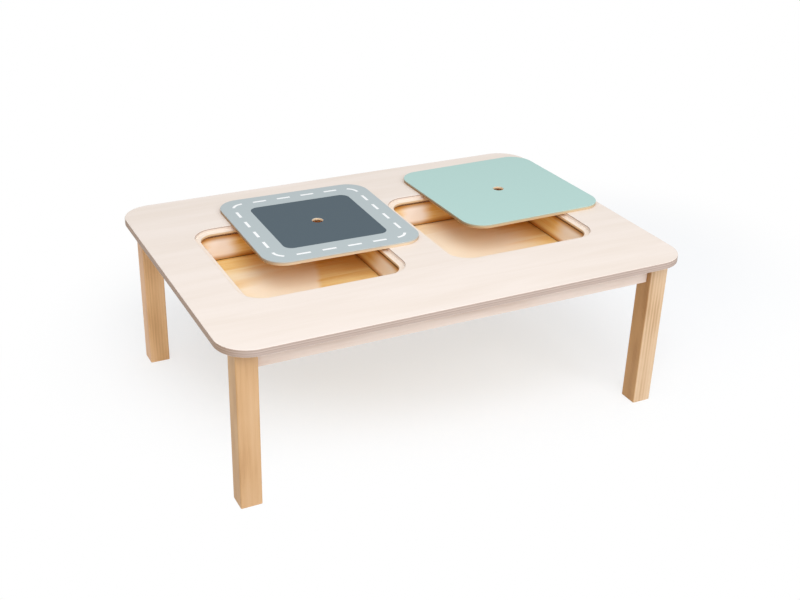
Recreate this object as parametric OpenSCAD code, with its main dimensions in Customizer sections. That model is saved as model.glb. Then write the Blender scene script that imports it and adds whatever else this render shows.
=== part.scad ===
// Low play table for children: a birch plywood top with two storage trays hung under it. Each tray
// is closed by a square lid that drops into a rebate; both lids are lifted out and laid on the top.
// The origin is on the floor under the middle of the table. +X runs along the table, +Z is up.

/* [Table] */
// Length of the top
table_l = 1000; // [940:10:1200]
// Width of the top
table_w = 700; // [620:10:800]
// Height of the top's upper face above the floor
table_h = 350; // [300:10:480]

/* [Top] */
// Thickness of the plywood top
top_t = 15; // [14:1:22]
// Corner radius of the top, in plan
top_corner_r = 65; // [30:5:90]
// Width of the bar left between the two lid rebates
middle_bar_w = 98; // [88:2:130]
// Width of the ledge that carries a lid
ledge_w = 12; // [8:1:16]

/* [Lids] */
// Side of a square lid
lid_size = 346; // [310:1:350]
// Thickness of a lid, and so the depth of its rebate
lid_t = 8; // [6:0.5:10]
// Corner radius of a lid, in plan
lid_corner_r = 48; // [30:1:70]
// Gap between a seated lid and its rebate, on each side
lid_clear = 1; // [0.5:0.1:2]
// Diameter of the finger hole
finger_hole_d = 24; // [18:1:32]
// How far the road lid lies from its rebate, along X
road_lid_off_x = 90; // [70:1:100]
// How far the road lid lies from its rebate, along Y
road_lid_off_y = 110; // [90:1:130]
// Turn of the road lid as it lies, in degrees
road_lid_turn = -1; // [-3:0.1:3]
// How far the plain lid lies from its rebate, along X
plain_lid_off_x = 99; // [70:1:101]
// How far the plain lid lies from its rebate, along Y
plain_lid_off_y = 119; // [90:1:130]
// Turn of the plain lid as it lies, in degrees
plain_lid_turn = 1.2; // [-3:0.1:3]

/* [Legs] */
// Side of a square leg
leg_w = 43; // [40:1:55]
// Radius of a leg's four long arrises
leg_arris_r = 3; // [1:0.5:6]
// How far a leg stands in from the end of the top
leg_inset_x = 28; // [15:1:40]
// How far a leg stands in from the long side of the top
leg_inset_y = 32; // [15:1:40]
// Width taken off a leg's inner corner, where the corner block bears
leg_flat = 8; // [6:1:10]

/* [Aprons] */
// Height of the aprons and of the rail between them
apron_h = 47; // [46:1:80]
// Thickness of the aprons and the rail
apron_t = 18; // [16:1:20]
// How far an apron's face stands behind the leg's face
apron_setback = 12; // [6:1:14]

/* [Corner blocks] */
// Height of a corner block
block_h = 40; // [38:1:46]
// Thickness of a corner block, across the corner
block_t = 22; // [18:1:26]
// Depth of solid wood under a block screw's head
block_screw_seat = 8; // [6:1:10]

/* [Trays] */
// Inner depth of a tray, under the top
tray_depth = 56; // [40:1:90]
// Thickness of a tray's walls
tray_wall_t = 10; // [9:1:14]
// Thickness of a tray's floor panel
tray_floor_t = 5; // [4:0.5:8]
// How far a tray's walls stand outside the edge of the opening
tray_setback = 1; // [0:0.5:4]
// Side of the square cleats beside a tray
cleat_w = 18; // [16:1:24]

/* [Fixings] */
// Wood screw shank diameter
screw_d = 3.5; // [3:0.5:4]
// Depth of solid apron under the head of a screw that holds it up
apron_screw_wood = 18; // [14:1:24]
// Wood screw head diameter
screw_head_d = 7; // [6:0.5:8]
// How far a wood screw bites into the piece that it holds
screw_bite = 10; // [8:0.5:11]
// Leg bolt diameter
bolt_d = 6; // [5:1:6]
// How far a leg bolt reaches into the leg
bolt_reach = 26; // [20:1:28]
// Height of a leg bolt's head
bolt_head_h = 4; // [3:0.5:5]
// Distance of the two leg bolts above and below the block's middle
bolt_rise = 9; // [8:0.5:10]
// Washer diameter
washer_d = 14; // [12:1:14]
// Washer thickness
washer_t = 1.5; // [1:0.1:2]
// Outer diameter of a threaded insert
insert_d = 10; // [9:0.5:11]
// Length of a threaded insert
insert_l = 15; // [12:1:18]
// Dowel diameter
dowel_d = 8; // [6:1:10]
// Depth of a dowel in the apron
dowel_in_apron = 12; // [8:1:13]
// Depth of a dowel in the rail
dowel_in_rail = 18; // [12:1:25]

/* [Hidden] */
$fn = 96;

// Radial gap of a screw, bolt, insert or dowel in its hole
hole_gap = 0.1;
// Extra depth of a blind hole past what sits in it
hole_spare = 1;
// Extra length by which a cut runs past a face
past = 1;

// Heights
top_under = table_h - top_t;
block_mid_z = top_under - block_h / 2;
tray_floor_z = top_under - tray_depth;

// Openings in the top, each centred rebate_x from the middle
rebate_size = lid_size + 2 * lid_clear;
rebate_r = lid_corner_r + lid_clear;
rebate_x = (rebate_size + middle_bar_w) / 2;
opening_size = rebate_size - 2 * ledge_w;
opening_r = rebate_r - ledge_w;

// Legs and aprons; the inside corner is where the inner faces of two aprons meet
leg_x = table_l / 2 - leg_inset_x - leg_w;
leg_y = table_w / 2 - leg_inset_y - leg_w;
corner_x = table_l / 2 - leg_inset_x - apron_setback - apron_t;
corner_y = table_w / 2 - leg_inset_y - apron_setback - apron_t;

// Distances across a corner, counted from the inside corner along both aprons
leg_reach = leg_w - apron_setback - apron_t;
flat_sum = 2 * leg_reach - leg_flat;
block_sum = flat_sum + block_t * sqrt(2);
block_screw_at = (flat_sum + block_sum) / 2;

// Trays
tray_in = opening_size + 2 * tray_setback;
tray_out = tray_in + 2 * tray_wall_t;

// Where the fixings go, and how deep the apron screws are sunk
screw_sink = apron_h - apron_screw_wood;
counterbore_d = screw_head_d + 2;
long_screws_x = [for (s = [-1, 1], share = [0.28, 0.81]) s * share * leg_x];
end_screws_y = [for (s = [-1, 1]) s * 0.55 * leg_y];
cleat_screws_x = [for (k = [-1:1]) k * tray_in * 0.37];
floor_screws_at = [for (s = [-1, 1]) s * tray_in / 3];
dowels_z = [for (k = [1, 3]) top_under - k * apron_h / 4];

// A square of side s with corners of radius r
module round_square(s, r) {
    round_rectangle(s, s, r);
}

// A rectangle l by w with corners of radius r
module round_rectangle(l, w, r) {
    square([l - 2 * r, w], center = true);
    square([l, w - 2 * r], center = true);
    for (x = [-1, 1], y = [-1, 1])
        translate([x * (l / 2 - r), y * (w / 2 - r)]) circle(r);
}

// A countersunk wood screw, driven along +Z with its head's top at the origin
module wood_screw(len) {
    head_h = (screw_head_d - screw_d) / 2;
    tip_h = 1.5 * screw_d;
    difference() {
        union() {
            cylinder(h = head_h, d1 = screw_head_d, d2 = screw_d);
            cylinder(h = len - tip_h, d = screw_d);
            translate([0, 0, len - tip_h]) cylinder(h = tip_h, d1 = screw_d, d2 = 0.6);
        }
        for (turn = [0, 90])
            rotate([0, 0, turn]) cube([0.55 * screw_head_d, 0.9, 2.4], center = true);
    }
}

// The hole of a wood screw; over its head it stays open for sink
module screw_hole(len, sink = past, open_d = screw_head_d) {
    head_h = (screw_head_d - screw_d) / 2;
    gap = 2 * hole_gap;
    cylinder(h = head_h, d1 = screw_head_d + gap, d2 = screw_d + gap);
    cylinder(h = len + hole_spare, d = screw_d + gap);
    translate([0, 0, -sink]) cylinder(h = sink, d = open_d + gap);
}

// Puts its children at the inside corner sx, sy, turned so that +X and +Y point into the table
module at_corner(sx, sy) {
    mirror([sx > 0 ? 1 : 0, 0, 0])
        mirror([0, sy > 0 ? 1 : 0, 0])
            translate([-corner_x, -corner_y, 0])
                children();
}

// At both bolts of a corner, +Z running out of the leg from its flat
module at_leg_bolts() {
    for (s = [-1, 1])
        translate([flat_sum / 2, flat_sum / 2, block_mid_z + s * bolt_rise])
            rotate([0, 0, 45]) rotate([0, 90, 0])
                children();
}

// At both screws of a corner block, +Z running into the apron
module at_block_screws() {
    for (flip = [false, true])
        mirror(flip ? [1, -1, 0] : [0, 0, 0])
            translate([block_screw_at, block_screw_seat, block_mid_z])
                rotate([90, 0, 0])
                    children();
}

// At the screws that hold an apron up to the top, +Z up
module at_apron_screws() {
    apron_mid_x = corner_x + apron_t / 2;
    apron_mid_y = corner_y + apron_t / 2;
    screw_z = top_under - apron_h + screw_sink;
    for (x = long_screws_x, s = [-1, 1])
        translate([x, s * apron_mid_y, screw_z]) children();
    for (y = end_screws_y, s = [-1, 1])
        translate([s * apron_mid_x, y, screw_z]) children();
}

// At the screws of the cleats, +Z up
module at_cleat_screws() {
    for (t = [-1, 1], x = cleat_screws_x, s = [-1, 1])
        translate([t * rebate_x + x, s * (tray_out + cleat_w) / 2, top_under - cleat_w]) children();
}

// At the screws of the tray floors, +Z up
module at_floor_screws() {
    wall_mid = (tray_in + tray_wall_t) / 2;
    for (t = [-1, 1], a = floor_screws_at, s = [-1, 1])
        translate([t * rebate_x, 0, tray_floor_z - tray_floor_t]) {
            translate([a, s * wall_mid, 0]) children();
            translate([s * wall_mid, a, 0]) children();
        }
}

apron_screw_l = apron_h - screw_sink + screw_bite;
cleat_screw_l = cleat_w + screw_bite;
block_screw_l = block_screw_seat + screw_bite;
floor_screw_l = tray_floor_t + screw_bite;

// Plywood top with a rebated opening over each tray
module tabletop() {
    color("#f2e4d8")
    difference() {
        translate([0, 0, top_under])
            linear_extrude(top_t) round_rectangle(table_l, table_w, top_corner_r);
        for (s = [-1, 1]) {
            translate([s * rebate_x, 0, table_h - lid_t])
                linear_extrude(lid_t + past) round_square(rebate_size, rebate_r);
            translate([s * rebate_x, 0, top_under - past])
                linear_extrude(top_t + 2 * past) round_square(opening_size, opening_r);
        }
        at_apron_screws() screw_hole(apron_screw_l);
        at_cleat_screws() screw_hole(cleat_screw_l);
    }
}

// Square leg with rounded arrises and a flat on its inner corner for the corner block
module leg(sx, sy) {
    leg_mid = leg_reach - leg_w / 2;
    color("#d3a96d")
    at_corner(sx, sy)
    difference() {
        translate([leg_mid, leg_mid, 0])
            linear_extrude(top_under) round_square(leg_w, leg_arris_r);
        translate([flat_sum / 2, flat_sum / 2, top_under - block_h])
            rotate([0, 0, 45])
                translate([0, -leg_w / 2, 0]) cube([leg_w, leg_w, block_h + past]);
        at_leg_bolts() {
            translate([0, 0, -insert_l]) cylinder(h = insert_l + past, d = insert_d + 2 * hole_gap);
            translate([0, 0, -bolt_reach - hole_spare])
                cylinder(h = bolt_reach, d = bolt_d + 2 * hole_gap);
        }
    }
}

// What is drilled out of an apron; every hole is cut from every apron that it meets
module apron_holes() {
    at_apron_screws() screw_hole(apron_screw_l, screw_sink + past, counterbore_d);
    for (sx = [-1, 1], sy = [-1, 1])
        at_corner(sx, sy) at_block_screws() screw_hole(block_screw_l);
    for (s = [-1, 1], z = dowels_z)
        translate([0, s * (corner_y - past), z]) rotate([s * -90, 0, 0])
            cylinder(h = dowel_in_apron + hole_spare + past, d = dowel_d + 2 * hole_gap);
}

// Apron along the front or back, between two legs
module long_apron(sy) {
    color("#ecd9cb")
    difference() {
        translate([-leg_x, sy > 0 ? corner_y : -corner_y - apron_t, top_under - apron_h])
            cube([2 * leg_x, apron_t, apron_h]);
        apron_holes();
    }
}

// Apron along one end, between two legs
module end_apron(sx) {
    color("#ecd9cb")
    difference() {
        translate([sx > 0 ? corner_x : -corner_x - apron_t, -leg_y, top_under - apron_h])
            cube([apron_t, 2 * leg_y, apron_h]);
        apron_holes();
    }
}

// Rail from apron to apron, under the bar between the two openings
module centre_rail() {
    color("#e6cfb6")
    difference() {
        translate([-apron_t / 2, -corner_y, top_under - apron_h])
            cube([apron_t, 2 * corner_y, apron_h]);
        for (s = [-1, 1], z = dowels_z)
            translate([0, s * (corner_y + past), z]) rotate([s * 90, 0, 0])
                cylinder(h = dowel_in_rail + hole_spare + past, d = dowel_d + 2 * hole_gap);
    }
}

// Dowels between the rail and the two long aprons
module rail_dowels() {
    color("#d9bd8c")
    for (s = [-1, 1], z = dowels_z)
        translate([0, s * (corner_y - dowel_in_rail), z]) rotate([s * -90, 0, 0])
            cylinder(h = dowel_in_rail + dowel_in_apron, d = dowel_d);
}

// Hardwood block across an inside corner, drawn up against the leg by two bolts
module corner_block(sx, sy) {
    color("#d8b98c")
    at_corner(sx, sy)
    difference() {
        translate([0, 0, top_under - block_h])
            linear_extrude(block_h)
                polygon([[flat_sum, 0], [block_sum, 0], [0, block_sum], [0, flat_sum]]);
        at_leg_bolts()
            translate([0, 0, -past]) cylinder(h = block_t + 2 * past, d = bolt_d + 2 * hole_gap);
        at_block_screws()
            screw_hole(block_screw_l, block_sum, counterbore_d);
    }
}

// Front or back wall of a tray, as long as the whole tray
module tray_long_wall(side, sy) {
    color("#c98d4c")
    difference() {
        translate([side * rebate_x - tray_out / 2, sy > 0 ? tray_in / 2 : -tray_out / 2, tray_floor_z])
            cube([tray_out, tray_wall_t, tray_depth]);
        at_floor_screws() screw_hole(floor_screw_l);
    }
}

// Side wall of a tray, between its front and back walls
module tray_side_wall(side, sx) {
    color("#c98d4c")
    difference() {
        translate([side * rebate_x + (sx > 0 ? tray_in / 2 : -tray_out / 2), -tray_in / 2, tray_floor_z])
            cube([tray_wall_t, tray_in, tray_depth]);
        at_floor_screws() screw_hole(floor_screw_l);
    }
}

// Floor panel, screwed up into the four walls
module tray_floor(side) {
    color("#c58a4a")
    difference() {
        translate([side * rebate_x - tray_out / 2, -tray_out / 2, tray_floor_z - tray_floor_t])
            cube([tray_out, tray_out, tray_floor_t]);
        at_floor_screws() screw_hole(floor_screw_l);
    }
}

// Cleats in front of and behind a tray, glued to it and screwed up into the top
module tray_cleats(side) {
    color("#d8b98c")
    difference() {
        for (sy = [-1, 1])
            translate([side * rebate_x - tray_out / 2, sy > 0 ? tray_out / 2 : -tray_out / 2 - cleat_w,
                       top_under - cleat_w])
                cube([tray_out, cleat_w, cleat_w]);
        at_cleat_screws() screw_hole(cleat_screw_l);
    }
}

// Square lid with round corners and a finger hole, lying flat on the top
module lid(side, off_x, off_y, turn) {
    translate([side * rebate_x + off_x, off_y, table_h])
        rotate([0, 0, turn])
            linear_extrude(lid_t)
                difference() {
                    round_square(lid_size, lid_corner_r);
                    circle(d = finger_hole_d);
                }
}

// Lid with the road, off the left tray
module road_lid() {
    color("#aab4bd") lid(-1, road_lid_off_x, road_lid_off_y, road_lid_turn);
}

// Plain lid, off the right tray
module plain_lid() {
    color("#9cc9c6") lid(1, plain_lid_off_x, plain_lid_off_y, plain_lid_turn);
}

// Hexagon-headed bolts from the corner blocks into the legs
module leg_bolts() {
    head_at = block_t + washer_t;
    color("#b9bcc0")
    for (sx = [-1, 1], sy = [-1, 1])
        at_corner(sx, sy) at_leg_bolts() {
            translate([0, 0, -bolt_reach]) cylinder(h = bolt_reach + head_at, d = bolt_d);
            translate([0, 0, head_at]) cylinder(h = bolt_head_h, d = 1.9 * bolt_d, $fn = 6);
        }
}

// Washers under the bolts' heads
module leg_washers() {
    color("#c4c7ca")
    for (sx = [-1, 1], sy = [-1, 1])
        at_corner(sx, sy) at_leg_bolts()
            translate([0, 0, block_t])
                difference() {
                    cylinder(h = washer_t, d = washer_d);
                    translate([0, 0, -past])
                        cylinder(h = washer_t + 2 * past, d = bolt_d + 2 * hole_gap);
                }
}

// Threaded inserts, flush with the flats of the legs
module leg_inserts() {
    color("#c9b06a")
    for (sx = [-1, 1], sy = [-1, 1])
        at_corner(sx, sy) at_leg_bolts()
            translate([0, 0, -insert_l])
                difference() {
                    cylinder(h = insert_l, d = insert_d);
                    translate([0, 0, -past])
                        cylinder(h = insert_l + 2 * past, d = bolt_d + 2 * hole_gap);
                }
}

// Screws from the corner blocks into the aprons
module block_screws() {
    color("#c2b280")
    for (sx = [-1, 1], sy = [-1, 1])
        at_corner(sx, sy) at_block_screws() wood_screw(block_screw_l);
}

// Screws from the aprons up into the top
module apron_screws() {
    color("#c2b280") at_apron_screws() wood_screw(apron_screw_l);
}

// Screws from the cleats up into the top
module cleat_screws() {
    color("#c2b280") at_cleat_screws() wood_screw(cleat_screw_l);
}

// Screws from the tray floors up into the walls
module tray_floor_screws() {
    color("#c2b280") at_floor_screws() wood_screw(floor_screw_l);
}

tabletop();
leg(-1, -1);  // leg_front_left
leg(1, -1);  // leg_front_right
leg(-1, 1);  // leg_back_left
leg(1, 1);  // leg_back_right
long_apron(-1);  // apron_front
long_apron(1);  // apron_back
end_apron(-1);  // apron_left
end_apron(1);  // apron_right
centre_rail();
rail_dowels();
corner_block(-1, -1);  // corner_block_front_left
corner_block(1, -1);  // corner_block_front_right
corner_block(-1, 1);  // corner_block_back_left
corner_block(1, 1);  // corner_block_back_right
tray_long_wall(-1, -1);  // left_tray_front
tray_long_wall(-1, 1);  // left_tray_back
tray_side_wall(-1, -1);  // left_tray_outer_side
tray_side_wall(-1, 1);  // left_tray_inner_side
tray_floor(-1);  // left_tray_floor
tray_cleats(-1);  // left_tray_cleats
tray_long_wall(1, -1);  // right_tray_front
tray_long_wall(1, 1);  // right_tray_back
tray_side_wall(1, 1);  // right_tray_outer_side
tray_side_wall(1, -1);  // right_tray_inner_side
tray_floor(1);  // right_tray_floor
tray_cleats(1);  // right_tray_cleats
road_lid();
plain_lid();
leg_bolts();
leg_washers();
leg_inserts();
block_screws();
apron_screws();
cleat_screws();
tray_floor_screws();
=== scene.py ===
"""A low play table with two lift-out lids over storage trays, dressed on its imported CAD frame.

The sections follow the table as it is put together: legs, aprons and rail, corner joints, top,
trays, lids. The photograph's camera stands first, and the floor and lamps come last.
"""
from math import cos, pi, radians, sin

import bmesh
import bpy
import numpy as np
from mathutils import Matrix, Vector


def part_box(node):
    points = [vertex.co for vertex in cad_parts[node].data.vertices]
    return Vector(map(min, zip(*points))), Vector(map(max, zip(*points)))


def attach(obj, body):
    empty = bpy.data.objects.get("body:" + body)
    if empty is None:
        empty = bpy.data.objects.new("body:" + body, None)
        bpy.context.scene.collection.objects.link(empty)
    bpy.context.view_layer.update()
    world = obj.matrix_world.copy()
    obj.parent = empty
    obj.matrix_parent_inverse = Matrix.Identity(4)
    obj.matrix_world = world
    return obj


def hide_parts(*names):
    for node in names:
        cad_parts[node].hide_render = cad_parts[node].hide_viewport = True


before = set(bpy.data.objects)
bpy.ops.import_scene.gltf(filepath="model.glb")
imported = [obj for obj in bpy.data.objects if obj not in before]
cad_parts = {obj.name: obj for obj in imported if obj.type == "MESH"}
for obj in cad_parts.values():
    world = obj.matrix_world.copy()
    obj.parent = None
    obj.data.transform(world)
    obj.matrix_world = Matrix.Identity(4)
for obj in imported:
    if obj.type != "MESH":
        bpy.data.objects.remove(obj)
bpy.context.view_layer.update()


# The photograph's view: a long lens left of the table's front, well above it and looking down.
# Its place and turns come from 45 measured points on the table's straight edges.
eye = Vector((-1.02286, -1.976434, 1.322776))
pan = radians(27.702)
tilt = radians(26.969)
roll = radians(1.831)
lens_px = 1150.622
photo_width_px = 800
half_pixel = 0.5 / photo_width_px

camera_data = bpy.data.cameras.new("photograph_camera")
camera_data.sensor_width = 36.0
camera_data.lens = camera_data.sensor_width * lens_px / photo_width_px
camera_data.shift_x = -half_pixel
camera_data.shift_y = half_pixel
camera_data.clip_start = 0.05
camera_data.clip_end = 60.0
camera = bpy.data.objects.new("photograph_camera", camera_data)
bpy.context.collection.objects.link(camera)
looking = Vector((sin(pan) * cos(tilt), cos(pan) * cos(tilt), -sin(tilt)))
level_right = Vector((cos(pan), -sin(pan), 0.0))
level_up = level_right.cross(looking)
right = level_right * cos(roll) + level_up * sin(roll)
up = level_up * cos(roll) - level_right * sin(roll)
camera.matrix_world = Matrix.Translation(eye) @ Matrix((right, up, -looking)).transposed().to_4x4()
bpy.context.scene.camera = camera


# Legs: four square posts of solid beech, planed, with rounded arrises and clear satin lacquer.
# Each stands under a corner of the top and is sawn square at the foot.
leg_rim = 0.0012


def linear(hex_colour):
    """An sRGB hex colour as linear RGBA."""
    channels = [int(hex_colour[i:i + 2], 16) / 255 for i in (1, 3, 5)]
    curve = [c / 12.92 if c <= 0.04045 else ((c + 0.055) / 1.055) ** 2.4 for c in channels]
    return (*curve, 1.0)


def add(tree, kind, settings=None, links=None):
    """Adds a node, sets its properties, sockets and colour stops, and wires its linked sockets."""
    node = tree.nodes.new(kind)
    for name, value in (settings or {}).items():
        if name == "stops":
            stops = node.color_ramp.elements
            stops[0].position, stops[0].color = value[0]
            stops[-1].position, stops[-1].color = value[-1]
            for position, colour in value[1:-1]:
                stops.new(position).color = colour
        elif isinstance(name, str) and hasattr(node, name):
            setattr(node, name, value)
        else:
            node.inputs[name].default_value = value
    for name, source in (links or {}).items():
        tree.links.new(source, node.inputs[name])
    return node


def new_material(name):
    """An empty node material, and its tree."""
    material = bpy.data.materials.new(name)
    material.use_nodes = True
    material.node_tree.nodes.clear()
    return material, material.node_tree


def surface(tree, colour, height, roughness, bump_mm):
    """Ends a wood or paint material: its colour and fine relief under a satin shine."""
    relief = add(tree, "ShaderNodeBump", {"Strength": 0.5, "Distance": bump_mm / 1000},
                 {"Height": height})
    shader = add(tree, "ShaderNodeBsdfPrincipled", {"Roughness": roughness, "Specular IOR Level": 0.35},
                 {"Base Color": colour, "Normal": relief.outputs["Normal"]})
    add(tree, "ShaderNodeOutputMaterial", {}, {"Surface": shader.outputs["BSDF"]})


def sideways(tree, place, colour, tint):
    """A colour with a tint on the faces that look along X."""
    facing = add(tree, "ShaderNodeSeparateXYZ", {}, {"Vector": place.outputs["Normal"]})
    part = add(tree, "ShaderNodeMath", {"operation": "MULTIPLY"},
               {0: facing.outputs["X"], 1: facing.outputs["X"]})
    return add(tree, "ShaderNodeMix", {"data_type": "RGBA", "blend_type": "MULTIPLY", 7: linear(tint)},
               {0: part.outputs["Value"], 6: colour}).outputs[2]


def hardwood(name, pale, middle, dark, pith, turn, ring_mm, ring_part, painted_side_shade=None):
    """Planed solid wood: rings round the pith, fine fibres along it, and a slow change of tone.

    pith is a point on the tree's centre line, and turn lays the local Z axis along the grain.
    The side shade darkens the faces that look along X, as painted shade.
    """
    material, tree = new_material(name)
    place = add(tree, "ShaderNodeTexCoord")
    local = add(tree, "ShaderNodeMapping",
                {"vector_type": "TEXTURE", "Location": pith, "Rotation": turn},
                {"Vector": place.outputs["Object"]})
    # A ring texture repeats every pi / 10 of its scaled length
    ring_scale = 1000 * pi / 10 / ring_mm
    ring_space = add(tree, "ShaderNodeMapping", {"Scale": (ring_scale, ring_scale, 0.04 * ring_scale)},
                     {"Vector": local.outputs["Vector"]})
    rings = add(tree, "ShaderNodeTexWave",
                {"wave_type": "RINGS", "rings_direction": "Z", "wave_profile": "SIN", "Scale": 1.0,
                 "Distortion": 2.2, "Detail": 2.0, "Detail Scale": 1.4},
                {"Vector": ring_space.outputs["Vector"]})
    # Fibres 1.2 mm wide and 45 mm long, drawn about four times as coarse as real ones to show
    fibre_space = add(tree, "ShaderNodeMapping", {"Scale": (1000 / 1.2, 1000 / 1.2, 1000 / 45)},
                      {"Vector": local.outputs["Vector"]})
    fibres = add(tree, "ShaderNodeTexNoise", {"Scale": 1.0, "Detail": 3.0, "Roughness": 0.6},
                 {"Vector": fibre_space.outputs["Vector"]})
    # Slow change of tone over 40 mm across and 200 mm along
    tone_space = add(tree, "ShaderNodeMapping", {"Scale": (1000 / 40, 1000 / 40, 1000 / 200)},
                     {"Vector": local.outputs["Vector"]})
    tone = add(tree, "ShaderNodeTexNoise", {"Scale": 1.0, "Detail": 1.0},
               {"Vector": tone_space.outputs["Vector"]})
    under = add(tree, "ShaderNodeMath", {"operation": "MULTIPLY_ADD", 1: 0.35},
                {0: fibres.outputs["Fac"], 2: tone.outputs["Fac"]})
    depth = add(tree, "ShaderNodeMath", {"operation": "MULTIPLY_ADD", 1: ring_part},
                {0: rings.outputs["Fac"], 2: under.outputs["Value"]})
    stops = [(0.45, linear(pale)), (0.7 + 0.5 * ring_part, linear(middle)),
             (0.95 + ring_part, linear(dark))]
    shade = add(tree, "ShaderNodeValToRGB", {"stops": stops},
                {"Fac": depth.outputs["Value"]}).outputs["Color"]
    if painted_side_shade:
        shade = sideways(tree, place, shade, painted_side_shade)
    surface(tree, shade, fibres.outputs["Fac"], 0.42, 0.08)
    return material


def sanded(piece, rim, limit):
    """Rounds a piece's rims as a sander does, and keeps its faces flat. Returns the rounding."""
    rounding = piece.modifiers.new("sanded_rims", "BEVEL")
    rounding.width = rim
    rounding.segments = 3
    rounding.limit_method = limit
    flatness = piece.modifiers.new("flat_faces", "WEIGHTED_NORMAL")
    flatness.keep_sharp = True
    flatness.weight = 100
    return rounding


def stands_for(node, piece, body="table"):
    """A finished piece takes its CAD node's place on a body, and the CAD node is hidden."""
    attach(piece, body)
    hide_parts(node)


def shaped(node, rim, material):
    """A CAD node's own shape as a finished piece: flat faces joined, rims rounded as by a sander.

    Edges up to 1.3 mm long belong to screw holes, which stay sharp.
    """
    screw_hole_edge = 0.0013
    shape = bmesh.new()
    shape.from_mesh(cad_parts[node].data)
    bmesh.ops.remove_doubles(shape, verts=shape.verts, dist=1e-6)
    bmesh.ops.dissolve_limit(shape, angle_limit=radians(0.5), verts=shape.verts, edges=shape.edges)
    weight = shape.edges.layers.float.new("bevel_weight_edge")
    for edge in shape.edges:
        if edge.calc_face_angle() > radians(30) and edge.calc_length() > screw_hole_edge:
            edge[weight] = 1.0
    for face in shape.faces:
        face.smooth = True
        face.material_index = 0
    mesh = bpy.data.meshes.new(node + "_wood")
    shape.to_mesh(mesh)
    shape.free()
    mesh.set_sharp_from_angle(angle=radians(30))
    mesh.materials.append(material)
    piece = bpy.data.objects.new(node + "_wood", mesh)
    bpy.context.collection.objects.link(piece)
    sanded(piece, rim, "WEIGHT").use_clamp_overlap = False
    stands_for(node, piece)


upright = (0.0, 0.0, 0.0)
# Each leg's shades, where its pith lay from its foot, its ring spacing in mm, how strongly its
# rings show, and the painted shade on its left and right faces. The pith's Z picks the stretch of the
# tree.
leg_timber = {
    "leg_front_left": (("#d9b389", "#cfa577", "#b98b5c"), (0.090, 0.130, 0.150), 6.0, 0.07, "#fffae6"),
    "leg_front_right": (("#e2c4a2", "#d8b792", "#bd966c"), (-0.060, 0.085, 1.300), 3.8, 0.16, "#dbc5a1"),
    # The back left leg is paler, as painted light against the table's shadow over it
    "leg_back_left": (("#f2ca9d", "#e7bb88", "#cc9d6a"), (0.120, -0.070, 0.150), 6.0, 0.08, "#f9ebe1"),
    "leg_back_right": (("#dfba90", "#d4ab7d", "#ba8d5e"), (0.080, 0.110, 0.0), 6.5, 0.18, "#fffaf0"),
}
for leg, (shades, pith, ring_mm, ring_part, painted_side_shade) in leg_timber.items():
    low, high = (Vector(corner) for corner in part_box(leg))
    foot_middle = Vector(((low.x + high.x) / 2, (low.y + high.y) / 2, 0.0))
    # Satin lacquer on planed beech: warm tan with faint rings, and a broad soft shine
    lacquered_beech = hardwood(
        "lacquered_beech_" + leg, *shades,
        tuple(foot_middle + Vector(pith)), upright, ring_mm, ring_part, painted_side_shade)
    shaped(leg, leg_rim, lacquered_beech)


# Aprons and centre rail: planed birch boards on edge, under the same clear lacquer as the top.
# The aprons run between the legs, and the rail crosses under the bar between the two openings.
board_rim = 0.0010
board_pith = Vector((0.07, 0.09, -0.11))
along_x = (0.0, pi / 2, 0.0)
along_y = (pi / 2, 0.0, 0.0)
board_grain = {
    "apron_front": along_x, "apron_back": along_x,
    "apron_left": along_y, "apron_right": along_y, "centre_rail": along_y,
}
for board, turn in board_grain.items():
    low, high = (Vector(corner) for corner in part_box(board))
    # Lacquered birch: nearly white with a pink cast, and hardly any rings
    lacquered_birch = hardwood("lacquered_birch_" + board, "#efdfd4", "#ead8cb", "#dfc9ba",
                               tuple((low + high) / 2 + board_pith), turn, 7.0, 0.08)
    shaped(board, board_rim, lacquered_birch)


# Rail dowels: four turned beech pegs that pin the rail's ends into the long aprons.
# Only their ends could be seen, with the rail taken out.
def new_tree(name, sizes):
    """A Geometry Nodes tree that takes a geometry, named sizes and a material, and those inputs."""
    tree = bpy.data.node_groups.new(name, "GeometryNodeTree")
    tree.interface.new_socket("Geometry", in_out="INPUT", socket_type="NodeSocketGeometry")
    for size in sizes:
        tree.interface.new_socket(size, in_out="INPUT", socket_type="NodeSocketFloat")
    tree.interface.new_socket("Material", in_out="INPUT", socket_type="NodeSocketMaterial")
    tree.interface.new_socket("Geometry", in_out="OUTPUT", socket_type="NodeSocketGeometry")
    return tree, add(tree, "NodeGroupInput").outputs


def end_tree(tree, given, geometry):
    """Ends a tree with real geometry that carries its material."""
    real = add(tree, "GeometryNodeRealizeInstances", {}, {"Geometry": geometry})
    smooth = add(tree, "GeometryNodeSetShadeSmooth", {}, {"Geometry": real.outputs["Geometry"]})
    finished = add(tree, "GeometryNodeSetMaterial", {},
                   {"Geometry": smooth.outputs["Geometry"], "Material": given["Material"]})
    add(tree, "NodeGroupOutput", {}, {"Geometry": finished.outputs["Geometry"]})


def run_tree(name, tree, start, values):
    """Runs a tree on a start mesh with these sizes, and leaves its result as a plain mesh object."""
    piece = bpy.data.objects.new(name, start)
    bpy.context.collection.objects.link(piece)
    modifier = piece.modifiers.new("build", "NODES")
    modifier.node_group = tree
    for socket in tree.interface.items_tree:
        if socket.in_out == "INPUT" and socket.name in values:
            modifier[socket.identifier] = values[socket.name]
    evaluated = piece.evaluated_get(bpy.context.evaluated_depsgraph_get())
    mesh = bpy.data.meshes.new_from_object(evaluated)
    mesh.name = name
    piece.modifiers.clear()
    piece.data = mesh
    mesh.set_sharp_from_angle(angle=radians(30))
    return piece


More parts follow.
